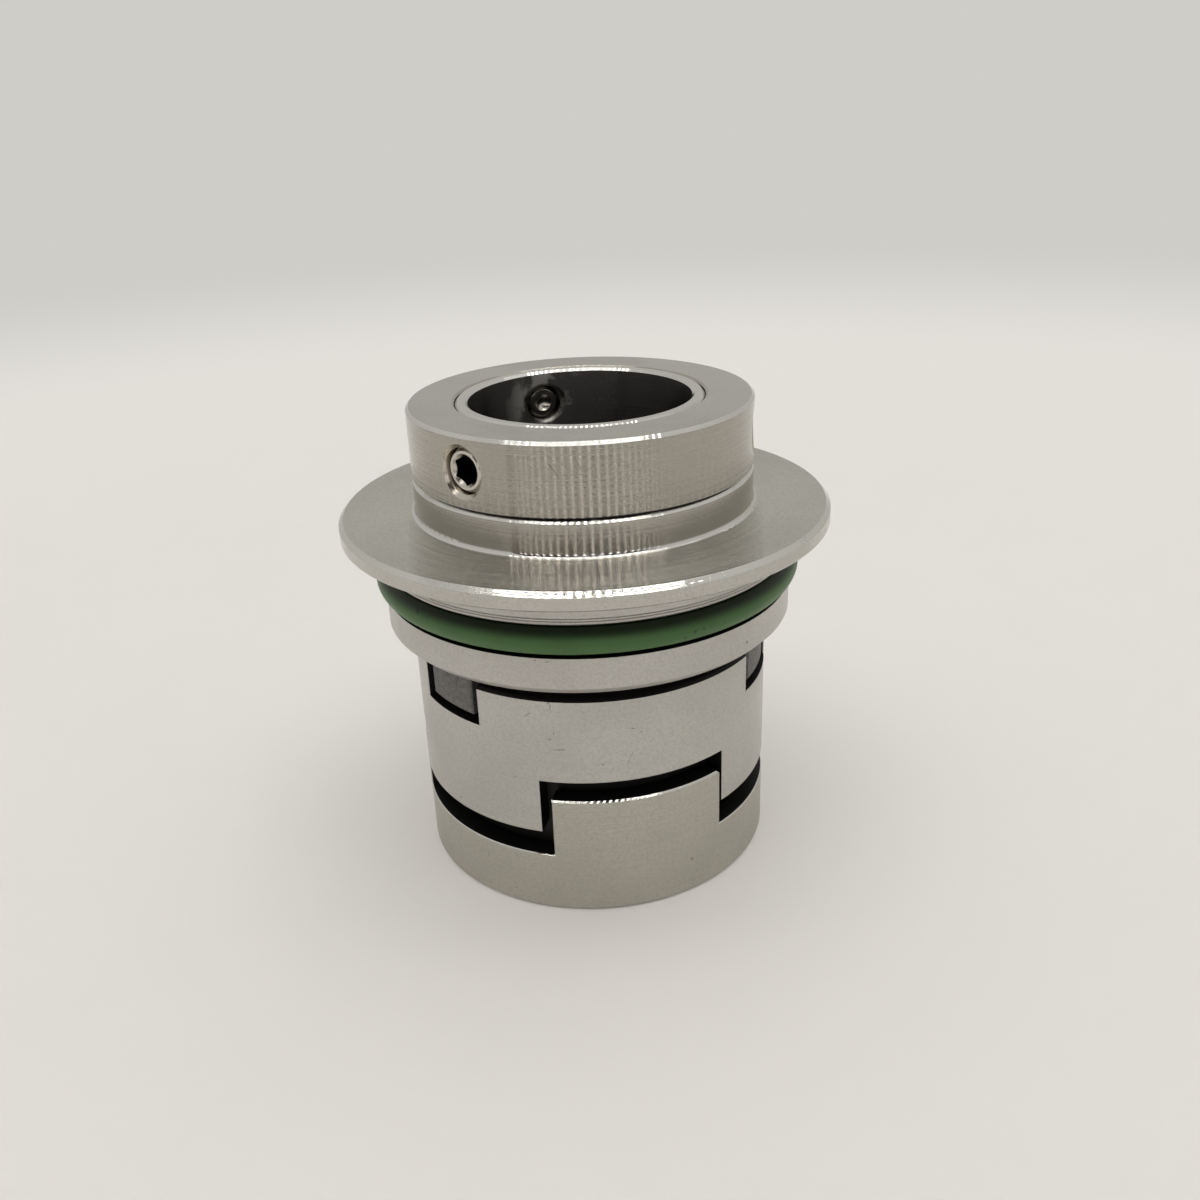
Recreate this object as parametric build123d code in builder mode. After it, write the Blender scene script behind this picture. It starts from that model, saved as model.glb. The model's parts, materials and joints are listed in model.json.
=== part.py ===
from build123d import *

import math
import os

# Cartridge mechanical seal for a 22 mm pump shaft.
#
# The seal stands on its drive cup. The shaft axis is +Z, and the origin is the centre of the cup's
# underside.
# Angles are polar angles in degrees about +Z, and every size is in millimetres.
#
# Three groups turn or slide against each other:
#   rotor   shaft sleeve, drive cup, drive collar and its set screws, all locked to the pump shaft
#   drive   drive ring and rotary ring, pushed upwards by the springs and turned by the cup's tabs
#   gland   the still part that seats in the pump head, with the stationary seat inside it

# --- shaft and sleeve -------------------------------------------------------------------------------------
shaft_diameter = 22.0
sleeve_wall = 1.2
sleeve_edge_break = 0.25
sleeve_lead_in = 0.45
foot_wall = 3.0  # radial thickness of the sleeve's foot, which is pressed into the cup's floor
foot_recess = 0.4  # the foot stops short of the cup's underside
shaft_o_ring_section = 1.8
shaft_o_ring_groove_clearance = 0.06
groove_side_clearance = 0.15

# --- drive cup and its tabs -------------------------------------------------------------------------------
cup_floor = 3.6
cup_rim_height = 6.5
cup_wall = 1.9
cup_base_chamfer = 0.3
tab_height = 6.35  # above the rim
tab_span = 55.9
tab_middle_angle = -76.2
tab_corner_chamfer = 0.4
edge_break = 0.15
fine_edge_break = 0.08
drive_count = 3  # tabs, notches, lugs and set screws all come in threes
cut_overrun = 1.0  # how far a cutter runs past the metal that it removes

# --- drive ring -------------------------------------------------------------------------------------------
sleeve_running_gap = 0.25
piston_gap = 0.3  # between the drive ring's inner hub and the cup's bore
rim_gap = 2.6  # from the cup's rim up to the drive ring's skirt, at rest
tab_roof_gap = 2.15  # from a tab's top up to the roof of its notch, at rest
tab_side_gap = 4.5  # the notch is this many degrees wider than its tab
tab_lean = 1.2  # the tabs bear on one side of their notches, so the ring sits this many degrees round
skirt_to_socket = 11.0  # from the skirt's lower edge to the socket's floor
socket_depth = 3.9
socket_wall = 1.5
lug_notch_depth = 4.25
ring_top_chamfer = 0.3
stroke_left_below_hub = 2.4  # from the inner hub down to the cup's floor

# --- springs ----------------------------------------------------------------------------------------------
spring_count = 6
spring_first_angle = -60.0
spring_wire = 0.45
spring_outer_diameter = 2.6
spring_turns = 9.0
spring_pocket_clearance = 0.15
spring_pocket_inner_wall = 0.5
spring_pocket_outer_wall = 0.35
spring_roof = 3.1  # solid metal between a pocket and the socket's floor

# --- rotary ring ------------------------------------------------------------------------------------------
rotary_bore_clearance = 0.7
rotary_socket_clearance = 0.3
rotary_body_height = 5.75
rotary_nose_height = 1.15
nose_wall = 1.8
nose_inset = 0.9
rotary_o_ring_section = 2.34
o_ring_running_gap = 0.05
o_ring_squeeze_gap = 0.02
o_ring_pocket_depth = 2.75
lug_span = 21.0
lug_middle_angle = -140.6
lug_recess = 0.28  # the lugs stop this far inside the drive ring's outer face
lug_floor_gap = 0.65
lug_root = 2.5  # how far outside the bore a lug grows from the ring
lug_height = 4.4
lug_side_gap = 6.0  # the notch is this many degrees wider than its lug
lug_chamfer = 0.2
seal_face_gap = 0.02

# --- stationary seat --------------------------------------------------------------------------------------
seat_bore_clearance = 0.9
seat_body_height = 3.6
seat_radial_thickness = 3.8
seat_chamfer = 0.3
seat_o_ring_section = 2.5
seat_side_gap = 0.2
pin_diameter = 1.6
pin_angle = 90.0
pin_side_gap = 0.15
pin_to_o_ring_gap = 0.15
pin_reach_into_seat = 0.75
pin_depth_in_gland = 2.6
pin_end_gap = 0.15

# --- gland ------------------------------------------------------------------------------------------------
gland_skirt_depth = 8.35  # from the seat's shoulder down to the gland's lower end
gland_groove_wall = 1.65
o_ring_groove_depth = 2.0
gland_o_ring_section = 2.8
gland_o_ring_lift = 1.7  # from the groove's lower side up to the ring's middle
lead_chamfer = 0.7
lower_land_width = 3.75
o_ring_groove_width = 3.2
upper_land_width = 3.05
turning_line_depth = 0.05
turning_line_half_width = 0.1
turning_line_heights = (0.4, 0.65)  # above the groove's upper side
flange_thickness = 1.75
flange_overhang = 3.85
flange_edge_chamfer = 0.45
hub_height = 3.6
hub_fillet = 0.5
hub_chamfer = 0.4
bush_wall = 1.2
bush_height = 3.2
bush_running_gap = 0.1

# --- drive collar and set screws --------------------------------------------------------------------------
collar_gap = 0.12  # above the gland's hub
collar_height = 6.85
collar_wall = 4.7
collar_fit = 0.1
collar_top_chamfer = 0.3
collar_lower_chamfer = 0.12
collar_bore_chamfer = 0.2
screw_first_angle = -129.7
screw_radius = 2.12  # the thread's root, as its crests are hidden in the collar
screw_thread_gap = 0.05
screw_length = 5.0
screw_recess = 0.55
screw_end_chamfer = 0.16
screw_countersink_radius = 2.58
countersink_angle = 90.0
dog_radius = 1.7
dog_length = 1.4
dog_chamfer = 0.3
dog_dimple_radius = 0.8
dog_dimple_depth = 0.5
sleeve_hole_gap = 0.18
sleeve_hole_chamfer = 0.25
socket_across_flats = 2.5
socket_reach = 2.2
socket_mouth = 0.22

# --- radii, worked outwards from the shaft ----------------------------------------------------------------
shaft_radius = shaft_diameter / 2
sleeve_radius = shaft_radius + sleeve_wall
foot_radius = shaft_radius + foot_wall
drive_bore_radius = sleeve_radius + sleeve_running_gap
spring_pocket_radius = spring_outer_diameter / 2 + spring_pocket_clearance
spring_circle_radius = drive_bore_radius + spring_pocket_inner_wall + spring_pocket_radius
piston_radius = spring_circle_radius + spring_pocket_radius + spring_pocket_outer_wall
cup_bore_radius = piston_radius + piston_gap
drive_radius = cup_bore_radius + cup_wall
cutter_radius = drive_radius + cut_overrun
socket_radius = drive_radius - socket_wall
rotary_bore_radius = sleeve_radius + rotary_bore_clearance
rotary_radius = socket_radius - rotary_socket_clearance
lug_radius = drive_radius - lug_recess
seat_bore_radius = sleeve_radius + seat_bore_clearance
seat_radius = seat_bore_radius + seat_radial_thickness
gland_cavity_radius = seat_radius + seat_side_gap
seat_neck_radius = gland_cavity_radius - seat_o_ring_section - o_ring_running_gap
gland_groove_radius = gland_cavity_radius + gland_groove_wall
pilot_radius = gland_groove_radius + o_ring_groove_depth
flange_radius = pilot_radius + flange_overhang
bush_bore_radius = sleeve_radius + bush_running_gap
bush_radius = bush_bore_radius + bush_wall
collar_bore_radius = sleeve_radius + collar_fit
collar_radius = collar_bore_radius + collar_wall
hub_radius = collar_radius
screw_face_radius = collar_radius - screw_recess
screw_tip_radius = screw_face_radius - screw_length

# --- heights, worked upwards from the underside -----------------------------------------------------------
tab_top = cup_rim_height + tab_height
piston_bottom = cup_floor + stroke_left_below_hub
skirt_bottom = cup_rim_height + rim_gap
tab_notch_roof = tab_top + tab_roof_gap
socket_floor = skirt_bottom + skirt_to_socket
drive_ring_top = socket_floor + socket_depth
lug_notch_floor = drive_ring_top - lug_notch_depth
spring_top = socket_floor - spring_roof
rotary_shoulder = socket_floor + rotary_body_height
seal_face = rotary_shoulder + rotary_nose_height
seat_bottom = seal_face + seal_face_gap
seat_shoulder = seat_bottom + seat_body_height
seat_neck_height = seat_o_ring_section + pin_to_o_ring_gap + pin_reach_into_seat
seat_top = seat_shoulder + seat_neck_height
gland_bottom = seat_top - gland_skirt_depth
groove_bottom = gland_bottom + lower_land_width
groove_top = groove_bottom + o_ring_groove_width
flange_bottom = groove_top + upper_land_width
flange_top = flange_bottom + flange_thickness
hub_top = flange_top + hub_height
bush_bottom = hub_top - bush_height
collar_bottom = hub_top + collar_gap
sleeve_top = collar_bottom + collar_height
screw_height = collar_bottom + collar_height / 2

# --- angles -----------------------------------------------------------------------------------------------
tab_notch_span = tab_span + tab_side_gap
tab_notch_middle = tab_middle_angle - tab_lean
lug_notch_span = lug_span + lug_side_gap
drive_step = 360 / drive_count


def sector(height, inner_radius, outer_radius, middle, span):
    """A flat piece of ring, the given number of degrees wide, drawn at a height."""
    with BuildSketch(Plane.XY.offset(height)) as piece:
        with BuildLine():
            outer_arc = CenterArc((0, 0), outer_radius, middle - span / 2, span)
            inner_arc = CenterArc((0, 0), inner_radius, middle - span / 2, span)
            Line(inner_arc @ 0, outer_arc @ 0)
            Line(inner_arc @ 1, outer_arc @ 1)
        make_face()
    return piece.sketch


def repeated_angles(first, count):
    """Equally spaced angles round the full circle."""
    return [first + number * 360 / count for number in range(count)]


def radial_plane(angle, height):
    """A plane on the seal's axis whose X points outwards at the angle and whose Y points up."""
    outwards = Vector(math.cos(math.radians(angle)), math.sin(math.radians(angle)), 0)
    return Plane(origin=(0, 0, height), x_dir=outwards, z_dir=outwards.cross(Vector(0, 0, 1)))


def outward_plane(angle, height, radius):
    """A plane at a radius whose Z points straight away from the seal's axis."""
    outwards = Vector(math.cos(math.radians(angle)), math.sin(math.radians(angle)), 0)
    return Plane(origin=outwards * radius + Vector(0, 0, height), x_dir=(0, 0, 1), z_dir=outwards)


def inward_plane(angle, height, radius):
    """A plane at a radius whose Z points straight at the seal's axis."""
    outwards = Vector(math.cos(math.radians(angle)), math.sin(math.radians(angle)), 0)
    return Plane(origin=outwards * radius + Vector(0, 0, height), x_dir=(0, 0, 1), z_dir=-outwards)


def is_near_tab_end(point):
    """Whether a point lies at the end of a tab that drives, the one at its greater angle."""
    angle = math.degrees(math.atan2(point.Y, point.X))
    past_end = angle - tab_middle_angle - tab_span / 2
    return abs((past_end + drive_step / 2) % drive_step - drive_step / 2) < 1


def arcs_at(part, height, radius):
    """The round edges of a part that lie flat at a height and have a radius."""
    arcs = part.edges().filter_by(GeomType.CIRCLE)
    arcs = arcs.filter_by(lambda edge: abs(edge.radius - radius) < 1e-3)
    return arcs.filter_by(lambda edge: abs((edge @ 0).Z - height) + abs((edge @ 0.5).Z - height) < 1e-3)


def upright_edges_at(part, radius):
    """The straight upright edges of a part that stand at a radius."""
    uprights = part.edges().filter_by(GeomType.LINE).filter_by(Axis.Z)
    return uprights.filter_by(lambda edge: abs(math.hypot((edge @ 0).X, (edge @ 0).Y) - radius) < 1e-3)


os.makedirs("parts", exist_ok=True)

# === rotor ================================================================================================

# Sleeve: a turned tube over the shaft, with a foot that holds the shaft's O-ring in a groove.
shaft_groove_radius = shaft_radius + shaft_o_ring_section + shaft_o_ring_groove_clearance
shaft_groove_width = shaft_o_ring_section + 2 * groove_side_clearance
shaft_groove_middle = (foot_recess + cup_floor) / 2
sleeve_hole_radius = dog_radius + sleeve_hole_gap
sleeve_hole_start = 0.4  # the countersink begins this far inside the bore, as the bore curves away

with BuildPart() as shaft_sleeve:
    with BuildSketch(Plane.XY.offset(foot_recess)):
        Circle(foot_radius)
    extrude(amount=cup_floor - foot_recess)
    with BuildSketch(Plane.XY.offset(cup_floor)):
        Circle(sleeve_radius)
    extrude(amount=sleeve_top - cup_floor)
    with Locations((0, 0, sleeve_top)):
        Hole(shaft_radius)
    chamfer(arcs_at(shaft_sleeve.part, sleeve_top, sleeve_radius), sleeve_edge_break)
    chamfer(arcs_at(shaft_sleeve.part, sleeve_top, shaft_radius), sleeve_edge_break)
    chamfer(arcs_at(shaft_sleeve.part, foot_recess, shaft_radius), sleeve_lead_in)
    with BuildSketch(Plane.XY.offset(shaft_groove_middle - shaft_groove_width / 2)):
        Circle(shaft_groove_radius)
        Circle(shaft_radius - cut_overrun, mode=Mode.SUBTRACT)
    extrude(amount=shaft_groove_width, mode=Mode.SUBTRACT)
    for angle in repeated_angles(screw_first_angle, drive_count):
        with Locations(inward_plane(angle, screw_height, shaft_radius - sleeve_hole_start)):
            CounterSinkHole(
                radius=sleeve_hole_radius,
                counter_sink_radius=sleeve_hole_radius + sleeve_hole_chamfer + sleeve_hole_start,
                depth=sleeve_wall + 2 * sleeve_hole_start,
                counter_sink_angle=countersink_angle,
            )
shaft_sleeve.part.label = "shaft_sleeve"
export_step(shaft_sleeve.part, "parts/shaft_sleeve.step")

# O-ring between the sleeve's foot and the shaft, drawn as the shaft squeezes it.
with BuildPart() as shaft_o_ring:
    with Locations((0, 0, shaft_groove_middle)):
        Torus(shaft_radius + o_ring_squeeze_gap + shaft_o_ring_section / 2, shaft_o_ring_section / 2)
shaft_o_ring.part.label = "shaft_o_ring"
export_step(shaft_o_ring.part, "parts/shaft_o_ring.step")

# Drive cup: a turned cup pressed on the sleeve's foot, its wall milled away to leave the drive tabs.
with BuildPart() as drive_cup:
    with BuildSketch():
        Circle(drive_radius)
    extrude(amount=tab_top)
    with BuildSketch(Plane.XY.offset(cup_floor)):
        Circle(cup_bore_radius)
    extrude(amount=tab_top - cup_floor, mode=Mode.SUBTRACT)
    with Locations((0, 0, cup_floor)):
        Hole(foot_radius)
    between_tabs = drive_step - tab_span
    for angle in repeated_angles(tab_middle_angle + drive_step / 2, drive_count):
        add(sector(cup_rim_height, cup_bore_radius - cut_overrun, cutter_radius, angle, between_tabs))
        extrude(amount=tab_height, mode=Mode.SUBTRACT)
    tab_ends = drive_cup.edges().filter_by(GeomType.LINE).group_by(Axis.Z)[-1]
    leading_ends = tab_ends.filter_by(lambda edge: is_near_tab_end(edge @ 0.5))
    chamfer(leading_ends, tab_corner_chamfer)
    chamfer(upright_edges_at(drive_cup.part, drive_radius), fine_edge_break)
    chamfer(arcs_at(drive_cup.part, tab_top, drive_radius), edge_break)
    chamfer(arcs_at(drive_cup.part, cup_rim_height, drive_radius), fine_edge_break)
    chamfer(arcs_at(drive_cup.part, 0, drive_radius), cup_base_chamfer)
drive_cup.part.label = "drive_cup"
export_step(drive_cup.part, "parts/drive_cup.step")

# Drive collar: the ring that clamps the sleeve to the shaft through its three set screws.
with BuildPart() as drive_collar:
    with BuildSketch(Plane.XY.offset(collar_bottom)):
        Circle(collar_radius)
        Circle(collar_bore_radius, mode=Mode.SUBTRACT)
    extrude(amount=collar_height)
    chamfer(arcs_at(drive_collar.part, sleeve_top, collar_radius), collar_top_chamfer)
    chamfer(arcs_at(drive_collar.part, collar_bottom, collar_radius), collar_lower_chamfer)
    chamfer(arcs_at(drive_collar.part, sleeve_top, collar_bore_radius), collar_bore_chamfer)
    for angle in repeated_angles(screw_first_angle, drive_count):
        with Locations(outward_plane(angle, screw_height, collar_radius)):
            CounterSinkHole(
                radius=screw_radius + screw_thread_gap,
                counter_sink_radius=screw_countersink_radius,
                depth=collar_wall + cut_overrun,
                counter_sink_angle=countersink_angle,
            )
drive_collar.part.label = "drive_collar"
export_step(drive_collar.part, "parts/drive_collar.step")


# Set screws: dog-point socket screws whose dogs pass through the sleeve's holes to grip the shaft.
def build_set_screw(angle):
    """One set screw, turned about its radial axis, with its hexagon socket facing outwards."""
    dog_end = screw_tip_radius + dog_length
    with BuildPart() as screw:
        with BuildSketch(radial_plane(angle, screw_height)):
            with BuildLine():
                Polyline(
                    (screw_tip_radius + dog_dimple_depth, 0),
                    (screw_tip_radius, dog_dimple_radius),
                    (screw_tip_radius, dog_radius - dog_chamfer),
                    (screw_tip_radius + dog_chamfer, dog_radius),
                    (dog_end, dog_radius),
                    (dog_end + screw_radius - dog_radius, screw_radius),
                    (screw_face_radius - screw_end_chamfer, screw_radius),
                    (screw_face_radius, screw_radius - screw_end_chamfer),
                    (screw_face_radius, 0),
                    close=True,
                )
            make_face()
        revolve(axis=Axis(origin=(0, 0, screw_height), direction=radial_plane(angle, screw_height).x_dir))
        with BuildSketch(outward_plane(angle, screw_height, screw_face_radius)):
            RegularPolygon(radius=socket_across_flats / 2, side_count=6, major_radius=False)
        extrude(amount=-socket_reach, mode=Mode.SUBTRACT)
        with Locations(outward_plane(angle, screw_height, screw_face_radius)):
            CounterSinkHole(
                radius=socket_across_flats / 2 - socket_mouth,
                counter_sink_radius=socket_across_flats / 2 + socket_mouth,
                depth=socket_reach,
                counter_sink_angle=countersink_angle,
            )
    return screw.part


for number, angle in enumerate(repeated_angles(screw_first_angle, drive_count), start=1):
    set_screw = build_set_screw(angle)
    set_screw.label = f"set_screw_{number}"
    export_step(set_screw, f"parts/set_screw_{number}.step")

# === drive ================================================================================================

# Drive ring: slides inside the cup on its inner hub. Its lower notches take the cup's tabs, its upper
# notches take the rotary ring's lugs, and the springs stand in blind pockets bored from below.
with BuildPart() as drive_ring:
    with BuildSketch(Plane.XY.offset(piston_bottom)):
        Circle(piston_radius)
    extrude(amount=skirt_bottom - piston_bottom)
    with BuildSketch(Plane.XY.offset(skirt_bottom)):
        Circle(drive_radius)
    extrude(amount=drive_ring_top - skirt_bottom)
    with BuildSketch(Plane.XY.offset(socket_floor)):
        Circle(socket_radius)
    extrude(amount=socket_depth, mode=Mode.SUBTRACT)
    with Locations((0, 0, socket_floor)):
        Hole(drive_bore_radius)
    chamfer(arcs_at(drive_ring.part, drive_ring_top, drive_radius), ring_top_chamfer)
    for angle in repeated_angles(tab_notch_middle, drive_count):
        add(sector(skirt_bottom, piston_radius, cutter_radius, angle, tab_notch_span))
        extrude(amount=tab_notch_roof - skirt_bottom, mode=Mode.SUBTRACT)
    for angle in repeated_angles(lug_middle_angle, drive_count):
        add(sector(lug_notch_floor, rotary_radius, cutter_radius, angle, lug_notch_span))
        extrude(amount=lug_notch_depth, mode=Mode.SUBTRACT)
    chamfer(upright_edges_at(drive_ring.part, drive_radius), fine_edge_break)
    chamfer(arcs_at(drive_ring.part, skirt_bottom, drive_radius), fine_edge_break)
    with BuildSketch(Plane.XY.offset(piston_bottom)):
        with PolarLocations(spring_circle_radius, spring_count, start_angle=spring_first_angle):
            Circle(spring_pocket_radius)
    extrude(amount=spring_top - piston_bottom, mode=Mode.SUBTRACT)
drive_ring.part.label = "drive_ring"
export_step(drive_ring.part, "parts/drive_ring.step")


# Springs: wound wire with both ends ground flat, standing between the cup's floor and the pocket roofs.
def build_spring(angle):
    """One coil spring on the spring circle at an angle."""
    wire_radius = spring_wire / 2
    coil_radius = spring_outer_diameter / 2 - wire_radius
    coil_height = spring_top - cup_floor
    middle_x = spring_circle_radius * math.cos(math.radians(angle))
    middle_y = spring_circle_radius * math.sin(math.radians(angle))
    with BuildPart() as spring:
        with BuildLine() as winding:
            Helix(
                pitch=coil_height / spring_turns,
                height=coil_height,
                radius=coil_radius,
                center=(middle_x, middle_y, cup_floor),
            )
        with BuildSketch(Plane(origin=winding.line @ 0, z_dir=winding.line % 0)):
            Circle(wire_radius)
        sweep(is_frenet=True)
        split(bisect_by=Plane.XY.offset(cup_floor), keep=Keep.TOP)
        split(bisect_by=Plane.XY.offset(spring_top), keep=Keep.BOTTOM)
    return spring.part


for number, angle in enumerate(repeated_angles(spring_first_angle, spring_count), start=1):
    spring = build_spring(angle)
    spring.label = f"spring_{number}"
    export_step(spring, f"parts/spring_{number}.step")

# Rotary ring: the turning seal face, pressed from silicon carbide, with three lugs for the drive ring.
with BuildPart() as rotary_ring:
    with BuildSketch(Plane.XY.offset(socket_floor)):
        Circle(rotary_radius)
    extrude(amount=rotary_body_height)
    with BuildSketch(Plane.XY.offset(rotary_shoulder)):
        Circle(rotary_radius - nose_inset)
        Circle(rotary_radius - nose_inset - nose_wall, mode=Mode.SUBTRACT)
    extrude(amount=rotary_nose_height)
    lug_bottom = lug_notch_floor + lug_floor_gap
    for angle in repeated_angles(lug_middle_angle, drive_count):
        add(sector(lug_bottom, rotary_bore_radius + lug_root, lug_radius, angle, lug_span))
        extrude(amount=lug_height)
    with Locations((0, 0, rotary_shoulder)):
        Hole(rotary_bore_radius)
    chamfer(arcs_at(rotary_ring.part, rotary_shoulder, rotary_radius), seat_chamfer)
    lug_rims = arcs_at(rotary_ring.part, lug_bottom, lug_radius)
    lug_rims += arcs_at(rotary_ring.part, lug_bottom + lug_height, lug_radius)
    chamfer(lug_rims + upright_edges_at(rotary_ring.part, lug_radius), lug_chamfer)
    with BuildSketch(Plane.XY.offset(socket_floor)):
        Circle(sleeve_radius + rotary_o_ring_section + 2 * o_ring_running_gap)
        Circle(rotary_bore_radius, mode=Mode.SUBTRACT)
    extrude(amount=o_ring_pocket_depth, mode=Mode.SUBTRACT)
rotary_ring.part.label = "rotary_ring"
export_step(rotary_ring.part, "parts/rotary_ring.step")

# O-ring that seals the rotary ring to the sleeve and slides along it.
with BuildPart() as rotary_o_ring:
    with Locations((0, 0, socket_floor + rotary_o_ring_section / 2)):
        Torus(sleeve_radius + o_ring_running_gap + rotary_o_ring_section / 2, rotary_o_ring_section / 2)
rotary_o_ring.part.label = "rotary_o_ring"
export_step(rotary_o_ring.part, "parts/rotary_o_ring.step")

# === gland ================================================================================================

pin_circle_radius = seat_neck_radius + o_ring_running_gap

# Gland: one turned piece with the mounting flange, the pilot that enters the pump head, and the hub.
with BuildPart() as gland_flange:
    with BuildSketch(Plane.XZ):
        with BuildLine():
            Polyline(
                (seat_bore_radius, seat_top),
                (gland_cavity_radius, seat_top),
                (gland_cavity_radius, gland_bottom + edge_break),
                (gland_cavity_radius + edge_break, gland_bottom),
                (pilot_radius - lead_chamfer, gland_bottom),
                (pilot_radius, gland_bottom + lead_chamfer),
                (pilot_radius, groove_bottom),
                (gland_groove_radius, groove_bottom),
                (gland_groove_radius, groove_top),
                (pilot_radius - edge_break, groove_top),
                (pilot_radius, groove_top + edge_break),
                (pilot_radius, flange_bottom),
                (flange_radius - edge_break, flange_bottom),
                (flange_radius, flange_bottom + edge_break),
                (flange_radius, flange_top - flange_edge_chamfer),
                (flange_radius - flange_edge_chamfer, flange_top),
                (hub_radius, flange_top),
                (hub_radius, hub_top - hub_chamfer),
                (hub_radius - hub_chamfer, hub_top),
                (bush_radius, hub_top),
                (bush_radius, bush_bottom),
                (seat_bore_radius, bush_bottom),
                close=True,
            )
        make_face()
        for height in turning_line_heights:
            with BuildLine():
                Polyline(
                    (pilot_radius + turning_line_depth, groove_top + height - turning_line_half_width),
                    (pilot_radius - turning_line_depth, groove_top + height),
                    (pilot_radius + turning_line_depth, groove_top + height + turning_line_half_width),
                    close=True,
                )
            make_face(mode=Mode.SUBTRACT)
    revolve(axis=Axis.Z)
    fillet(arcs_at(gland_flange.part, flange_top, hub_radius), hub_fillet)
    with BuildSketch(Plane.XY.offset(seat_top)):
        with PolarLocations(pin_circle_radius, 1, start_angle=pin_angle):
            Circle(pin_diameter / 2)
    extrude(amount=pin_depth_in_gland, mode=Mode.SUBTRACT)
gland_flange.part.label = "gland_flange"
export_step(gland_flange.part, "parts/gland_flange.step")

# O-ring on the pilot, which seals the gland in the pump head.
gland_o_ring_circle = gland_groove_radius + o_ring_running_gap + gland_o_ring_section / 2

with BuildPart() as gland_o_ring:
    with Locations((0, 0, groove_bottom + gland_o_ring_lift)):
        Torus(gland_o_ring_circle, gland_o_ring_section / 2)
gland_o_ring.part.label = "gland_o_ring"
export_step(gland_o_ring.part, "parts/gland_o_ring.step")

# Stationary seat: the still seal face, with a neck for its O-ring and a slot for the pin.
with BuildPart() as stationary_seat:
    with BuildSketch(Plane.XY.offset(seat_bottom)):
        Circle(seat_radius)
    extrude(amount=seat_body_height)
    with BuildSketch(Plane.XY.offset(seat_shoulder)):
        Circle(seat_neck_radius)
    extrude(amount=seat_neck_height)
    with Locations((0, 0, seat_top)):
        Hole(seat_bore_radius)
    chamfer(arcs_at(stationary_seat.part, seat_bottom, seat_radius), seat_chamfer)
    chamfer(arcs_at(stationary_seat.part, seat_shoulder, seat_radius), seat_chamfer)
    with BuildSketch(Plane.XY.offset(seat_top)):
        with PolarLocations(pin_circle_radius, 1, start_angle=pin_angle):
            SlotCenterToCenter(pin_diameter, pin_diameter + 2 * pin_side_gap)
    extrude(amount=-(pin_reach_into_seat + pin_end_gap), mode=Mode.SUBTRACT)
stationary_seat.part.label = "stationary_seat"
export_step(stationary_seat.part, "parts/stationary_seat.step")

# O-ring round the seat's neck.
with BuildPart() as seat_o_ring:
    with Locations((0, 0, seat_shoulder + seat_o_ring_section / 2)):
        Torus(seat_neck_radius + seat_o_ring_section / 2, seat_o_ring_section / 2)
seat_o_ring.part.label = "seat_o_ring"
export_step(seat_o_ring.part, "parts/seat_o_ring.step")

# Pin pressed in the gland that keeps the seat from turning.
with BuildPart() as seat_pin:
    with BuildSketch(Plane.XY.offset(seat_top - pin_reach_into_seat)):
        with PolarLocations(pin_circle_radius, 1, start_angle=pin_angle):
            Circle(pin_diameter / 2)
    extrude(amount=pin_reach_into_seat + pin_depth_in_gland)
seat_pin.part.label = "seat_pin"
export_step(seat_pin.part, "parts/seat_pin.step")

# Plain bush in the hub that keeps the gland central on the turning sleeve.
with BuildPart() as centring_bush:
    with BuildSketch(Plane.XY.offset(bush_bottom)):
        Circle(bush_radius)
        Circle(bush_bore_radius, mode=Mode.SUBTRACT)
    extrude(amount=bush_height)
centring_bush.part.label = "centring_bush"
export_step(centring_bush.part, "parts/centring_bush.step")
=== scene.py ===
import json
import math

import bmesh
import bpy
from mathutils import Matrix, Vector


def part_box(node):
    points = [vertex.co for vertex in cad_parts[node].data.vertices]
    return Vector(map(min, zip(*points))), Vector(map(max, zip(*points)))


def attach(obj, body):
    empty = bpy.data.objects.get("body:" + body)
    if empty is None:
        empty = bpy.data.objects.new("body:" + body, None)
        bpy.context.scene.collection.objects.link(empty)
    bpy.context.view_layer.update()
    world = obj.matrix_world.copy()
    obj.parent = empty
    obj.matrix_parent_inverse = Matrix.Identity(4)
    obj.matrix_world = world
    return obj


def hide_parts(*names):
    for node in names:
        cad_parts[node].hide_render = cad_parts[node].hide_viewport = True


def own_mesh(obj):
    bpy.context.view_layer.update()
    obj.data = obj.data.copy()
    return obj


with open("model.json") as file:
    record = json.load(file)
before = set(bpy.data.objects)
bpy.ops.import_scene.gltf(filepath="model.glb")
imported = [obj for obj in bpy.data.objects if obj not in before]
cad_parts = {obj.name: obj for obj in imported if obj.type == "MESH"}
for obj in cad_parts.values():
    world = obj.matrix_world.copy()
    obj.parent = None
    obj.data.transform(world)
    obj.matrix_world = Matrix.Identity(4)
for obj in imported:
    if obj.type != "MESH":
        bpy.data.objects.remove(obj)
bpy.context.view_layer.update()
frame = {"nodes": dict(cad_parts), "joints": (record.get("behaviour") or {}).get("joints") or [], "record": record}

mounts = {mount["name"]: mount for mount in frame["record"]["mounts"]}
joints = {joint["name"]: joint for joint in frame["joints"]}

# === shaft sleeve ========================================================================================
# The sleeve is a thin stainless tube, turned inside and out, that slides over the pump's shaft. Everything
# else in the rotor is fixed to it. Its bore and the holes for the set screws are painted dark as shade, with
# grey rub marks round the holes through which the set screws were driven, and a fine bright chamfer on every
# edge, lightened as a painted highlight.


def fill(tree, socket, value):
    """Fills one input of a node with a plain value or with a link from another node's output."""
    if isinstance(value, bpy.types.NodeSocket):
        tree.links.new(value, socket)
    else:
        socket.default_value = value


def place_node(tree, kind, inputs, **options):
    """Adds a shader node with its options and inputs."""
    made = tree.nodes.new("ShaderNode" + kind)
    for option, value in options.items():
        setattr(made, option, value)
    for name, value in inputs.items():
        fill(tree, made.inputs[name], value)
    return made


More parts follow.
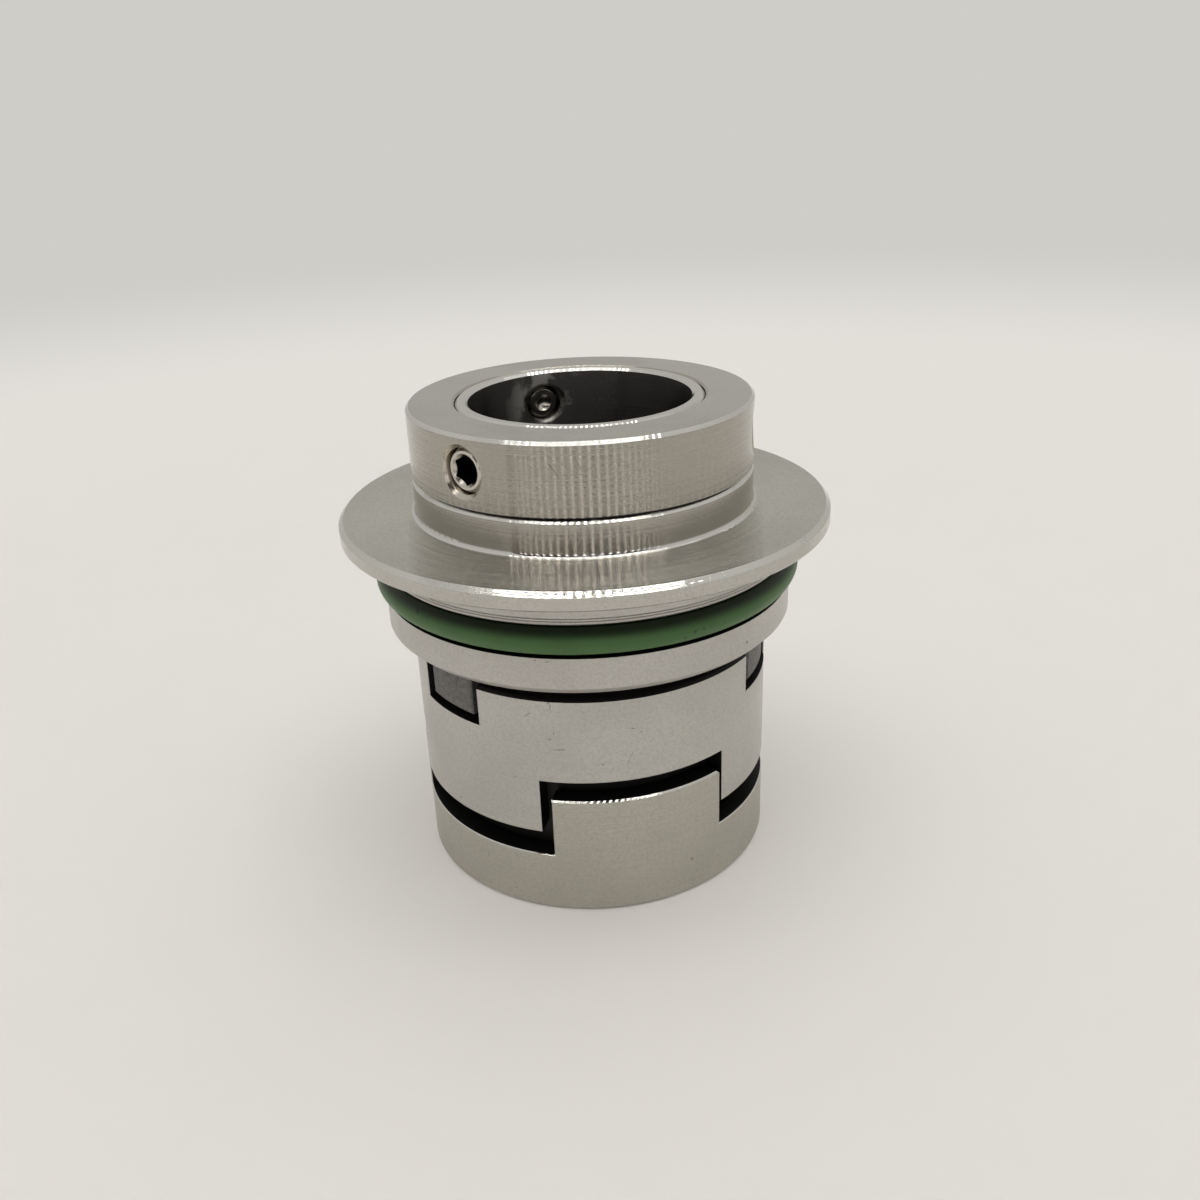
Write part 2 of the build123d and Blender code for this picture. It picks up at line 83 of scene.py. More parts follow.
def add(tree, kind, inputs, **options):
    """Adds a shader node, and gives back its first output."""
    return place_node(tree, kind, inputs, **options).outputs[0]


def number(tree, operation, *values):
    """A Math node, for numbers that change over the surface."""
    return add(tree, "Math", dict(enumerate(values)), operation=operation)


def plus(tree, first, second):
    """The sum of two numbers."""
    return number(tree, "ADD", first, second)


def minus(tree, first, second):
    """The first number less the second."""
    return number(tree, "SUBTRACT", first, second)


def times(tree, first, second):
    """The product of two numbers."""
    return number(tree, "MULTIPLY", first, second)


def vector(tree, operation, *values):
    """A Vector Math node. Lengths, distances and dot products come out as numbers."""
    made = place_node(tree, "VectorMath", dict(enumerate(values)), operation=operation)
    return made.outputs["Value" if operation in ("LENGTH", "DISTANCE", "DOT_PRODUCT") else "Vector"]


def scaled(tree, value, by):
    """A vector made longer or shorter."""
    return add(tree, "VectorMath", {0: value, "Scale": by}, operation="SCALE")


def ramp(tree, value, low, high, low_result=0.0, high_result=1.0):
    """A smooth step from one result to another while a value goes from low to high."""
    inputs = {"Value": value, 1: low, 2: high, 3: low_result, 4: high_result}
    return add(tree, "MapRange", inputs, interpolation_type="SMOOTHSTEP")


def blend_colour(tree, share, first, second):
    """Mixes two colours by a share that changes over the surface."""
    mix = tree.nodes.new("ShaderNodeMix")
    mix.data_type = "RGBA"
    for name, value in (("Factor_Float", share), ("A_Color", first), ("B_Color", second)):
        fill(tree, next(s for s in mix.inputs if s.identifier == name), value)
    return next(s for s in mix.outputs if s.identifier == "Result_Color")


def noise(tree, place, scale, detail=3.0, roughness=0.55, stretch=(1, 1, 1)):
    """Noise over a place vector in metres, at so many spots to the metre, stretched along its axes."""
    stretched = add(tree, "Mapping", {"Vector": place, "Scale": stretch})
    inputs = {"Vector": stretched, "Scale": scale, "Detail": detail, "Roughness": roughness}
    return add(tree, "TexNoise", inputs)


def place_on_seal(tree):
    """A point's place on the seal, in metres from the middle of its base."""
    return tree.nodes.new("ShaderNodeTexCoord").outputs["Object"]


def apart(tree, value):
    """The three numbers of a vector."""
    return add(tree, "SeparateXYZ", {0: value}).node.outputs


def radius_at(tree, x, y):
    """How far a point is from the shaft's axis."""
    return number(tree, "SQRT", plus(tree, times(tree, x, x), times(tree, y, y)))


def shade(colour, by):
    """A colour made darker or lighter by a factor."""
    return [min(1.0, channel * by) for channel in colour] + [1.0]


def start_group(name, inputs, outputs):
    """Starts a shader group. Inputs are given with their plain values, and outputs with their kinds."""
    tree = bpy.data.node_groups.new(name, "ShaderNodeTree")
    for socket_name, value in inputs.items():
        kind = "NodeSocketVector" if isinstance(value, tuple) else "NodeSocketFloat"
        socket = tree.interface.new_socket(name=socket_name, in_out="INPUT", socket_type=kind)
        socket.default_value = value
    for socket_name, kind in outputs.items():
        tree.interface.new_socket(name=socket_name, in_out="OUTPUT", socket_type="NodeSocket" + kind)
    ins = tree.nodes.new("NodeGroupInput").outputs
    outs = tree.nodes.new("NodeGroupOutput").inputs
    return tree, ins, outs


def use_group(tree, group, inputs):
    """Places a shader group in a material with values of its own, and gives back its outputs."""
    made = tree.nodes.new("ShaderNodeGroup")
    made.node_tree = group
    for name, value in inputs.items():
        fill(tree, made.inputs[name], value)
    return made.outputs


def lathe_group():
    """The fine rings of a lathe tool: they lean the surface in and out, but hardly at all round the axis."""
    inputs = {"Normal": (0.0, 0.0, 1.0), "Rings per Metre": 14000.0, "Lean": 0.5}
    group, ins, outs = start_group("lathe_rings", inputs, {"Normal": "Vector", "Ring": "Float"})
    x, y, z = apart(group, place_on_seal(group))
    profile = add(group, "CombineXYZ", {"X": radius_at(group, x, y), "Y": z})
    ring = noise(group, profile, ins["Rings per Metre"], 1.0, 0.6)
    here = group.nodes.new("ShaderNodeNewGeometry").outputs["Position"]
    round_axis = vector(group, "NORMALIZE", vector(group, "CROSS_PRODUCT", (0.0, 0.0, 1.0), here))
    across = vector(group, "CROSS_PRODUCT", round_axis, ins["Normal"])
    lean = times(group, minus(group, ring, 0.5), ins["Lean"])
    leaning = vector(group, "ADD", ins["Normal"], scaled(group, across, lean))
    group.links.new(vector(group, "NORMALIZE", leaning), outs["Normal"])
    group.links.new(ring, outs["Ring"])
    return group


def handling_group():
    """Marks of handling: soft smudges of the fingers, a fine grain, and a few hair scratches."""
    kinds = {"Smudge": "Float", "Grain": "Float", "Scratch": "Float"}
    group, ins, outs = start_group("handling_marks", {"Offset": (0.0, 0.0, 0.0)}, kinds)
    place = vector(group, "ADD", place_on_seal(group), ins["Offset"])
    group.links.new(ramp(group, noise(group, place, 110.0, 4.0), 0.38, 0.68), outs["Smudge"])
    group.links.new(noise(group, place, 4000.0, 2.0, 0.7), outs["Grain"])
    slanted = add(group, "Mapping", {"Vector": place, "Rotation": (0.9, 0.3, 0.4), "Scale": (1.0, 1.0, 0.05)})
    long_noise = noise(group, slanted, 900.0, 0.0)
    hair = number(group, "ABSOLUTE", minus(group, long_noise, 0.5))
    patch = ramp(group, noise(group, place, 260.0, 1.0), 0.6, 0.66)
    thin = ramp(group, hair, 0.0, 0.012, 1.0, 0.0)
    group.links.new(times(group, thin, patch), outs["Scratch"])
    return group


def edge_group():
    """Edges that handling has rounded: a mask of them, which the materials use to lighten them as wear and, on
    steel, as a painted highlight, and the rounded normal.
    """
    kinds = {"Edge": "Float", "Normal": "Vector"}
    group, ins, outs = start_group("worn_edges", {"Width": 0.00009}, kinds)
    rounded = add(group, "Bevel", {"Radius": ins["Width"]}, samples=4)
    flat = group.nodes.new("ShaderNodeNewGeometry").outputs["Normal"]
    same = vector(group, "DOT_PRODUCT", rounded, flat)
    group.links.new(ramp(group, same, 0.82, 0.995, 1.0, 0.0), outs["Edge"])
    group.links.new(rounded, outs["Normal"])
    return group


def nick_group():
    """One nick or scratch on a round wall: 1 along a short line at an angle and a height, 0 elsewhere. A long one
    round the wall paints a line of shade.
    """
    inputs = {"Angle": 0.0, "Height": 0.0, "Length": 0.001, "Width": 0.0001, "Slope": 0.0}
    group, ins, outs = start_group("nick", inputs, {"Mask": "Float"})
    x, y, z = apart(group, place_on_seal(group))
    turned = minus(group, number(group, "ARCTAN2", y, x), ins["Angle"])
    round_wall = times(group, turned, radius_at(group, x, y))
    unrolled = add(group, "CombineXYZ", {"X": round_wall, "Y": minus(group, z, ins["Height"])})
    turn_level = {"Vector": unrolled, "Angle": times(group, ins["Slope"], -1.0)}
    level = add(group, "VectorRotate", turn_level, rotation_type="Z_AXIS")
    along, off, _ = apart(group, level)
    past_end = minus(group, number(group, "ABSOLUTE", along), times(group, ins["Length"], 0.5))
    wobble = times(group, minus(group, noise(group, level, 3000.0, 1.0), 0.5), ins["Width"])
    beyond = number(group, "MAXIMUM", past_end, 0.0)
    distance = vector(group, "LENGTH", add(group, "CombineXYZ", {"X": beyond, "Y": plus(group, off, wobble)}))
    core = times(group, ins["Width"], 0.25)
    side = times(group, ins["Width"], 0.6)
    group.links.new(ramp(group, distance, core, side, 1.0, 0.0), outs["Mask"])
    return group


lathe_rings = lathe_group()
handling_marks = handling_group()
worn_edges = edge_group()
nick = nick_group()


def start_material(name):
    """A new material, with its node tree and its Principled shader."""
    material = bpy.data.materials.new(name)
    material.use_nodes = True
    return material, material.node_tree, material.node_tree.nodes["Principled BSDF"]


def all_nicks(tree, nicks):
    """All nicks of a piece, and lines of painted shade: each has its angle round the axis, height, length, width
    (mm) and slope.
    """
    total = 0.0
    for angle, height, length, width, slope in nicks:
        inputs = {"Angle": math.radians(angle), "Height": height * 0.001, "Length": length * 0.001}
        inputs.update({"Width": width * 0.001, "Slope": math.radians(slope)})
        total = number(tree, "MAXIMUM", total, use_group(tree, nick, inputs)["Mask"])
    return total


def steel(name, colour, roughness, *, stretch=0.0, lean=0.0, rings=14000.0, stain=0.25, wear_and_highlight=0.35,
          uneven=0.1, grain=0.1, speckle=0.0, nicks=(), rub=None):
    """Stainless steel as its tool left it. Stretch and lean draw reflections out across the tool's rings.

    Stain, wear (which also lightens the edges as a painted highlight), speckle, nicks, lines of painted shade and
    rub marks change its colour. Uneven and grain roughen it here and there.
    """
    material, tree, shader = start_material(name)
    own_place = (len(bpy.data.materials) * 0.017, roughness, 0.0)
    hands = use_group(tree, handling_marks, {"Offset": own_place})
    edges = use_group(tree, worn_edges, {})
    form = edges["Normal"] if grain else tree.nodes.new("ShaderNodeNewGeometry").outputs["Normal"]
    turned = use_group(tree, lathe_rings, {"Normal": form, "Rings per Metre": rings, "Lean": lean})
    darker = shade(colour, 0.84)
    stained = blend_colour(tree, times(tree, hands["Smudge"], stain), [*colour, 1.0], darker)
    ring_tone = blend_colour(tree, ramp(tree, turned["Ring"], 0.3, 0.75, 0.0, 0.3), stained, darker)
    peppered = blend_colour(tree, ramp(tree, hands["Grain"], 0.4, 0.7, 0.0, speckle), ring_tone, darker)
    scratched = blend_colour(tree, times(tree, hands["Scratch"], 0.35), peppered, darker)
    # Edges are lightened both as handling wear and as a painted highlight.
    worn_and_highlit = blend_colour(tree, times(tree, edges["Edge"], wear_and_highlight), scratched, shade(colour, 1.3))
    depth = times(tree, hands["Scratch"], -0.15)
    if nicks:
        nicked = all_nicks(tree, nicks)
        worn_and_highlit = blend_colour(tree, times(tree, nicked, 0.6), worn_and_highlit, shade(colour, 0.3))
        depth = minus(tree, depth, nicked)
    if rub:
        worn_and_highlit = blend_colour(tree, rub(tree), worn_and_highlit, shade(colour, 4.0))
    fill(tree, shader.inputs["Base Color"], worn_and_highlit)
    smudged = times(tree, minus(tree, hands["Smudge"], 0.5), uneven)
    grained = times(tree, minus(tree, hands["Grain"], 0.5), uneven)
    fill(tree, shader.inputs["Roughness"], plus(tree, roughness, plus(tree, smudged, grained)))
    height = plus(tree, depth, times(tree, hands["Grain"], grain))
    bump = {"Height": height, "Distance": 0.00002, "Strength": 1.0, "Normal": turned["Normal"]}
    fill(tree, shader.inputs["Normal"], add(tree, "Bump", bump))
    shader.inputs["Metallic"].default_value = 1.0
    shader.inputs["Anisotropic"].default_value = stretch
    shader.inputs["Anisotropic Rotation"].default_value = 0.25
    fill(tree, shader.inputs["Tangent"], add(tree, "Tangent", {}, direction_type="RADIAL", axis="Z"))
    return material


def dress(node_name, material):
    """Gives a CAD piece its finish, and hands the piece back."""
    piece = frame["nodes"][node_name]
    piece.data.materials.clear()
    piece.data.materials.append(material)
    return piece


def dress_faces(piece, material, chosen):
    """Gives another finish to those faces of a piece that a test of their middle and normal picks."""
    piece.data.materials.append(material)
    for face in piece.data.polygons:
        if chosen(face.center, face.normal):
            face.material_index = len(piece.data.materials) - 1


def from_axis(point):
    """How far a point is from the shaft's axis."""
    return math.hypot(point.x, point.y)


def outwards(middle, normal):
    """How far a face looks away from the shaft's axis: 1 on an outer wall, -1 in a bore, 0 if level."""
    return (normal.x * middle.x + normal.y * middle.y) / max(from_axis(middle), 1e-6)


bore_radius = mounts["shaft_bore"]["dims"]["r_mm"] * 0.001
screw_low, screw_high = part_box("set_screw_1")
screw_height = (screw_low.z + screw_high.z) / 2
screw_ways = [Vector(joints[f"set_screw_{i}_travel"]["axis"]) for i in (1, 2, 3)]
foot_groove_depth = 0.0021
sleeve_hole_reach = 0.0025  # above and below a hole's axis


def rub_marks(tree):
    """Grey rub marks inside the bore, spreading from the three holes for the set screws."""
    place = place_on_seal(tree)
    nearest = 1.0
    for inward in screw_ways:
        hole = -inward * bore_radius + Vector((0, 0, screw_height))
        nearest = number(tree, "MINIMUM", nearest, vector(tree, "DISTANCE", place, tuple(hole)))
    patch = ramp(tree, noise(tree, place, 420.0, 3.0), 0.45, 0.6)
    return times(tree, patch, ramp(tree, nearest, 0.0025, 0.0055, 0.8, 0.0))


# The bore's steel is far darker than the rim's: painted shade inside the tube and in the holes.
bore_painted_shade_steel = steel("bore_painted_shade_steel", (0.13, 0.125, 0.12), 0.34, stretch=0.9, lean=0.5, rings=9000.0,
                   stain=0.6, wear_and_highlight=0.2, rub=rub_marks)
rim_steel = steel("sleeve_rim_steel", (0.60, 0.585, 0.55), 0.26, stretch=0.6, lean=0.3, wear_and_highlight=0.6)
# A lighter, glossier steel for chamfers: partly a burnished edge, partly a painted highlight.
bright_edge = steel("burnished_edge_and_highlight", (0.66, 0.65, 0.62), 0.15, stretch=1.0, lean=0.3, rings=60000.0,
                    stain=0.1, wear_and_highlight=0.3, uneven=0.3, grain=0.0)
sleeve = dress("shaft_sleeve", rim_steel)


def is_slope(middle, normal):
    """A chamfer or a rounded corner that looks partly upwards."""
    return 0.25 < normal.z < 0.95


def is_chamfer(middle, normal):
    """A sloped face that runs round an outside edge."""
    return is_slope(middle, normal) and outwards(middle, normal) > 0.25


def in_bore(middle, normal):
    """The sleeve's bore wall and its O-ring groove, but not its chamfers or the holes' countersinks."""
    return from_axis(middle) < bore_radius + foot_groove_depth and outwards(middle, normal) < -0.97


def at_sleeve_holes(middle, normal):
    """The holes that the set screws' points pass through, with their countersinks."""
    return abs(middle.z - screw_height) < sleeve_hole_reach


# The sleeve's chamfers get the painted edge highlight.
dress_faces(sleeve, bright_edge, is_slope)
dress_faces(sleeve, bore_painted_shade_steel, in_bore)
dress_faces(sleeve, bore_painted_shade_steel, at_sleeve_holes)

# === shaft O-ring ========================================================================================
# A thin black elastomer ring in the sleeve's foot seals it to the shaft. It was moulded, so it has a dull
# sheen and no marks of a tool. Bloom and dust lighten it here and there.


def rubber(name, colour, roughness, speckle, shaded_from=1.0, shaded_to=2.0):
    """Moulded elastomer with bloom in patches, dark specks of dust, and painted shade above a height."""
    material, tree, shader = start_material(name)
    hands = use_group(tree, handling_marks, {"Offset": (0.4, 0.1, 0.0)})
    lighter = [channel * 1.35 + 0.004 for channel in colour] + [1.0]
    base = blend_colour(tree, times(tree, hands["Smudge"], 0.5), [*colour, 1.0], lighter)
    speck = ramp(tree, noise(tree, place_on_seal(tree), 1500.0, 1.0), 0.72, 0.75)
    speckled = blend_colour(tree, times(tree, speck, speckle), base, (0.015, 0.02, 0.015, 1.0))
    # Painted shade: above a height the colour goes dark, where the ring lies in shade.
    painted_top_shade = ramp(tree, apart(tree, place_on_seal(tree))[2], shaded_from, shaded_to)
    fill(tree, shader.inputs["Base Color"], blend_colour(tree, painted_top_shade, speckled, shade(colour, 0.12)))
    grained = times(tree, hands["Grain"], 0.12)
    fill(tree, shader.inputs["Roughness"], plus(tree, roughness, grained))
    fill(tree, shader.inputs["Normal"], add(tree, "Bump", {"Height": hands["Grain"], "Distance": 6e-6}))
    shader.inputs["Specular IOR Level"].default_value = 0.3
    return material


black_rubber = rubber("black_rubber", (0.018, 0.018, 0.018), 0.42, 0.0)
dress("shaft_o_ring", black_rubber)

# === drive cup ===========================================================================================
# The cup is turned from stainless bar and pressed on the sleeve's foot. Its wall is milled away to leave
# three tabs that drive the ring above it. Its outside is ground to an even satin. Its milled faces in the
# slots and bores are painted near-black as shade.

drive_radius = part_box("drive_cup")[1].x
inside_edge = drive_radius - 0.0005
underside = 0.0002
foot_chamfer = 0.0004
cup_nicks_and_foot_shadow = [
    # The first line runs right round the foot at the floor: a painted contact shadow, not a nick.
    (-90.0, 0.0, 180.0, 0.3, 0),
    (-60.0, 3.9, 0.25, 0.22, 0),
    (-118.0, 1.6, 0.3, 0.1, 30),
    (-128.0, 4.6, 0.5, 0.08, 70),
]
cup_steel = steel("cup_satin_steel", (0.51, 0.49, 0.435), 0.40, stretch=0.3, lean=0.25, rings=9000.0,
                  stain=0.35, wear_and_highlight=0.25, speckle=1.0, nicks=cup_nicks_and_foot_shadow)
# Near-black steel for recesses, slots, undersides, gaps and some chamfers: painted shade, not a finish of the
# metal.
painted_shade_steel = steel("painted_shade_dark_steel", (0.035, 0.034, 0.033), 0.5, stain=0.5, wear_and_highlight=0.15)


def is_recess(middle, normal):
    """A face that lies inside the drive's slots, sockets and bores."""
    within = from_axis(middle) < inside_edge
    return within or outwards(middle, normal) < 0.6 and middle.z > underside


def is_cup_recess(middle, normal):
    """The same on the cup, but not the chamfer at its foot."""
    return is_recess(middle, normal) and middle.z > foot_chamfer


def is_cup_edge(middle, normal):
    """The fine chamfers round the cup's outside, on its tabs and its rim."""
    return is_chamfer(middle, normal) and from_axis(middle) > inside_edge


cup = dress("drive_cup", cup_steel)
# Painted shade: the cup's slots, sockets and bores are made near-black.
dress_faces(cup, painted_shade_steel, is_cup_recess)
# The cup's outer chamfers get the painted edge highlight.
dress_faces(cup, bright_edge, is_cup_edge)

# === springs =============================================================================================
# Six small coil springs of hard-drawn stainless wire stand on the cup's floor and push the drive ring up.
# Both ends are ground flat.

spring_wire = 0.00045
spring_turns = 9
sections_per_turn = 28
sides_of_wire = 10


def loft(name, rings, low_point, high_point):
    """A closed skin over rings of points, each end closed on a point of its own."""
    form = bmesh.new()
    rows = [[form.verts.new(point) for point in ring] for ring in rings]
    count = len(rows[0])
    for lower, upper in zip(rows, rows[1:]):
        for i in range(count):
            j = (i + 1) % count
            form.faces.new((lower[i], lower[j], upper[j], upper[i]))
    for row, point, turn in ((rows[0], low_point, -1), (rows[-1], high_point, 1)):
        tip = form.verts.new(point)
        for i in range(count):
            j = (i + 1) % count
            form.faces.new((row[i], row[j], tip)[::turn])
    bmesh.ops.recalc_face_normals(form, faces=form.faces)
    for face in form.faces:
        face.smooth = True
    for edge in form.edges:
        edge.smooth = edge.calc_face_angle(0.0) < math.radians(35)
    mesh = bpy.data.meshes.new(name)
    form.to_mesh(mesh)
    form.free()
    piece = bpy.data.objects.new(name, mesh)
    bpy.context.scene.collection.objects.link(piece)
    return piece


def coil(name, low, high):
    """A coil spring that fills a box, with its end turns ground flat at the bottom and the top."""
    middle = (low + high) / 2
    coil_radius = (high.x - low.x - spring_wire) / 2
    rings = []
    for step in range(spring_turns * sections_per_turn + 1):
        share = step / (spring_turns * sections_per_turn)
        angle = share * spring_turns * math.tau
        along = Vector((math.cos(angle), math.sin(angle), 0))
        centre = Vector((middle.x, middle.y, low.z + share * (high.z - low.z))) + along * coil_radius
        ring = []
        for side in range(sides_of_wire):
            turn = side * math.tau / sides_of_wire
            point = centre + (along * math.cos(turn) + Vector((0, 0, math.sin(turn)))) * spring_wire / 2
            point.z = min(max(point.z, low.z), high.z)
            ring.append(point)
        rings.append(ring)
    ends = [sum(rings[end], Vector()) / sides_of_wire for end in (0, -1)]
    return loft(name, rings, *ends)


spring_steel = steel("spring_wire", (0.50, 0.50, 0.48), 0.25, stain=0.2, wear_and_highlight=0.1)
for i in range(1, 7):
    spring_low, spring_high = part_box(f"spring_{i}")
    spring_piece = coil(f"coil_spring_{i}", spring_low, spring_high)
    spring_piece.data.materials.append(spring_steel)
    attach(spring_piece, "rotor")
    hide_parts(f"spring_{i}")
    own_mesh(spring_piece)

# === drive ring ==========================================================================================
# The ring slides in the cup on its inner hub and carries the seal ring. It is turned, milled with three
# notches below for the cup's tabs and three above for the seal ring's lugs, and rubbed to a light satin.
# Handling has left small dents and scratches on it.

ring_nicks = [
    (-100.7, 18.64, 0.9, 0.12, 3),
    (-109.9, 22.11, 0.7, 0.09, 40),
    (-102.7, 23.11, 0.6, 0.09, 85),
    (-103.2, 23.6, 0.12, 0.16, 0),
    (-102.1, 20.4, 0.2, 0.1, 70),
    (-103.4, 19.7, 0.1, 0.12, 0),
    (-115.4, 14.97, 0.6, 0.07, 20),
    (-139.0, 9.96, 0.4, 0.12, 45),
    (-79.0, 20.6, 0.35, 0.12, -20),
    (-76.5, 20.1, 0.2, 0.1, -10),
    (-88.0, 17.0, 0.14, 0.14, 0),
    (-80.0, 17.4, 1.6, 0.06, 65),
]
ring_steel = steel("ring_satin_steel", (0.55, 0.535, 0.50), 0.38, stretch=0.35, lean=0.3, rings=9000.0,
                   stain=0.3, wear_and_highlight=0.3, speckle=1.0, nicks=ring_nicks)
drive_ring = dress("drive_ring", ring_steel)
# Painted shade: the ring's notches, inner hub and chamfers are made near-black.
dress_faces(drive_ring, painted_shade_steel, is_recess)
dress_faces(drive_ring, painted_shade_steel, is_slope)

# === rotary O-ring =======================================================================================
# A black elastomer ring between the seal ring and the sleeve, moulded like the one in the sleeve's foot. It
# slides on the sleeve as the faces wear.

dress("rotary_o_ring", black_rubber)

# === rotary ring =========================================================================================
# The turning seal ring is pressed and sintered from silicon carbide, with three lugs that sit in the drive
# ring's notches. It is grey, hard and dull, with the rough grain of the press, and its nose is lapped.


def sintered(name, colour, roughness):
    """Sintered carbide: a dull grey with the coarse grain of the press and slightly chipped edges."""
    material, tree, shader = start_material(name)
    hands = use_group(tree, handling_marks, {"Offset": (0.2, 0.3, 0.1)})
    edges = use_group(tree, worn_edges, {"Width": 0.00016})
    grain = noise(tree, place_on_seal(tree), 2400.0, 4.0, 0.8)
    lighter = shade(colour, 1.5)
    mottled = blend_colour(tree, ramp(tree, grain, 0.36, 0.66), shade(colour, 0.4), [*colour, 1.0])
    rubbed = blend_colour(tree, times(tree, hands["Smudge"], 0.25), mottled, lighter)
    chipped = blend_colour(tree, times(tree, edges["Edge"], 0.7), rubbed, lighter)
    fill(tree, shader.inputs["Base Color"], chipped)
    fill(tree, shader.inputs["Roughness"], plus(tree, roughness, times(tree, grain, 0.15)))
    bump = {"Height": grain, "Distance": 0.00003, "Normal": edges["Normal"]}
    fill(tree, shader.inputs["Normal"], add(tree, "Bump", bump))
    shader.inputs["Metallic"].default_value = 0.3
    return material


carbide = sintered("silicon_carbide", (0.165, 0.158, 0.152), 0.42)
lapped_carbide = sintered("lapped_carbide", (0.09, 0.088, 0.088), 0.12)
rotary_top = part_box("rotary_ring")[1].z
flatness = 0.00001


def is_nose(middle, normal):
    """The narrow lapped face on top of the turning ring."""
    return middle.z > rotary_top - flatness


rotary = dress("rotary_ring", carbide)
dress_faces(rotary, lapped_carbide, is_nose)

# === stationary seat =====================================================================================
# The still seal ring is carbide too, lapped flat below. An O-ring round its neck holds it in the gland,
# and a steel pin that is pressed in the gland stops it from turning.

seat_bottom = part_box("stationary_seat")[0].z


def is_seat_face(middle, normal):
    """The lapped face under the still ring."""
    return middle.z < seat_bottom + flatness


seat = dress("stationary_seat", carbide)
dress_faces(seat, lapped_carbide, is_seat_face)
dress("seat_o_ring", black_rubber)
pin_steel = steel("ground_pin_steel", (0.58, 0.57, 0.54), 0.22, stretch=0.4, lean=0.1)
dress("seat_pin", pin_steel)

# === gland flange ========================================================================================
# One piece, turned from stainless bar: the flange that is clamped to the pump, the pilot with its O-ring
# groove that enters the pump head, and the hub. The flange and the hub show the tool's fine rings, and the
# pilot's lands have a fine matt grain.

gland_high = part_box("gland_flange")[1]
flange_radius = gland_high.x
flange_underside = mounts["flange_underside"]["pos_m"][2]
flange_thickness = 0.00175
flange_edge = 0.0016  # the chamfer at the top lies this near the rim
rim_edge = 0.0003
hub_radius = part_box("drive_collar")[1].x
hub_fillet = 0.0003
hub_edge = 0.0005
hub_end_reach = 0.0001
pilot_radius = mounts["pilot_land"]["dims"]["r_mm"] * 0.001
land_chamfer = 0.0009
groove_edge = 0.0002
pilot_skin = 0.0015  # the gland's inside begins this far in from the lands
o_ring_low, o_ring_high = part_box("gland_o_ring")
room_below_ring = 0.0004
room_above_ring = 0.0005

# A dark line right round the rim just above its lower edge: painted shade, not a tool line.
rim_shade_line = [(-90.0, 35.71, 240.0, 0.08, 0)]
land_nicks = [
    (-45.3, 27.39, 0.1, 0.26, 0),
    (-101.0, 29.1, 0.3, 0.1, 10),
    (-104.0, 29.2, 0.12, 0.1, 0),
    (-90.0, 33.02, 240.0, 0.07, 0),
    (-90.0, 33.27, 240.0, 0.07, 0),
]
flange_steel = steel("turned_flange_steel", (0.56, 0.543, 0.485), 0.12, stretch=1.0, lean=3.2, rings=90000.0,
                     stain=0.5, wear_and_highlight=0.3, uneven=0.02, grain=0.0, speckle=1.0)
rim_wall_steel = steel("flange_rim_steel", (0.56, 0.54, 0.50), 0.25, stretch=0.7, lean=0.5, rings=30000.0,
                       stain=0.3, wear_and_highlight=0.3, speckle=0.6, nicks=rim_shade_line)
# The flange's top chamfer is a lighter copy of its steel: partly polish, partly a painted highlight.
flange_edge_highlight_steel = steel("flange_edge_highlight_steel", (0.66, 0.65, 0.61), 0.09, stretch=1.0, lean=0.6, rings=9000.0,
                          stain=0.1, wear_and_highlight=0.3, uneven=0.5, grain=0.12)
hub_steel = steel("polished_hub_steel", (0.47, 0.448, 0.408), 0.13, stretch=1.0, lean=0.6, rings=90000.0,
                  stain=0.15, wear_and_highlight=0.5, uneven=0.01, grain=0.0)
land_steel = steel("matt_land_steel", (0.56, 0.54, 0.505), 0.42, stretch=0.4, lean=0.3, rings=9000.0,
                   stain=0.25, wear_and_highlight=0.45, speckle=0.9, nicks=land_nicks)
gland = dress("gland_flange", flange_steel)


def on_rim(middle, normal):
    """The flange's outer wall."""
    return from_axis(middle) > flange_radius - rim_edge and outwards(middle, normal) > 0.9


def on_lands(middle, normal):
    """The two lands of the pilot and the chamfer that leads it into the pump head."""
    outside = from_axis(middle) > pilot_radius - land_chamfer and outwards(middle, normal) > -0.1
    return outside and middle.z < flange_underside


def on_hub(middle, normal):
    """The hub's wall, above the fillet that leads into the flange."""
    outside = from_axis(middle) > hub_radius - hub_edge and outwards(middle, normal) > 0.7
    return outside and middle.z > flange_underside + flange_thickness + hub_fillet


def in_groove(middle, normal):
    """The O-ring groove's floor and sides, and everything inside the gland."""
    across = from_axis(middle)
    level_with_ring = o_ring_low.z - room_below_ring < middle.z < o_ring_high.z + room_above_ring
    within = across < pilot_radius - pilot_skin and middle.z < gland_high.z - hub_edge
    on_top = normal.z > 0.2 and across > hub_radius - 2 * hub_edge
    deep = within and outwards(middle, normal) < 0.2 and not on_top
    return deep or level_with_ring and across < pilot_radius - groove_edge


def on_hub_end(middle, normal):
    """The hub's top, which faces the collar across a narrow gap."""
    return middle.z > gland_high.z - hub_end_reach and normal.z > 0.95


def is_gland_chamfer(middle, normal):
    """The chamfers and the fillet above the flange's underside."""
    return is_chamfer(middle, normal) and middle.z > flange_underside


def is_flange_edge(middle, normal):
    """The chamfer round the flange's top edge."""
    return is_slope(middle, normal) and from_axis(middle) > flange_radius - flange_edge


dress_faces(gland, rim_wall_steel, on_rim)
dress_faces(gland, land_steel, on_lands)
dress_faces(gland, hub_steel, on_hub)
# Painted shade: the groove, the gland's inside and the hub's top under the collar are made near-black.
dress_faces(gland, painted_shade_steel, in_groove)
dress_faces(gland, painted_shade_steel, on_hub_end)
# The gland's chamfers and its flange edge get the painted edge highlight.
dress_faces(gland, bright_edge, is_gland_chamfer)
dress_faces(gland, flange_edge_highlight_steel, is_flange_edge)

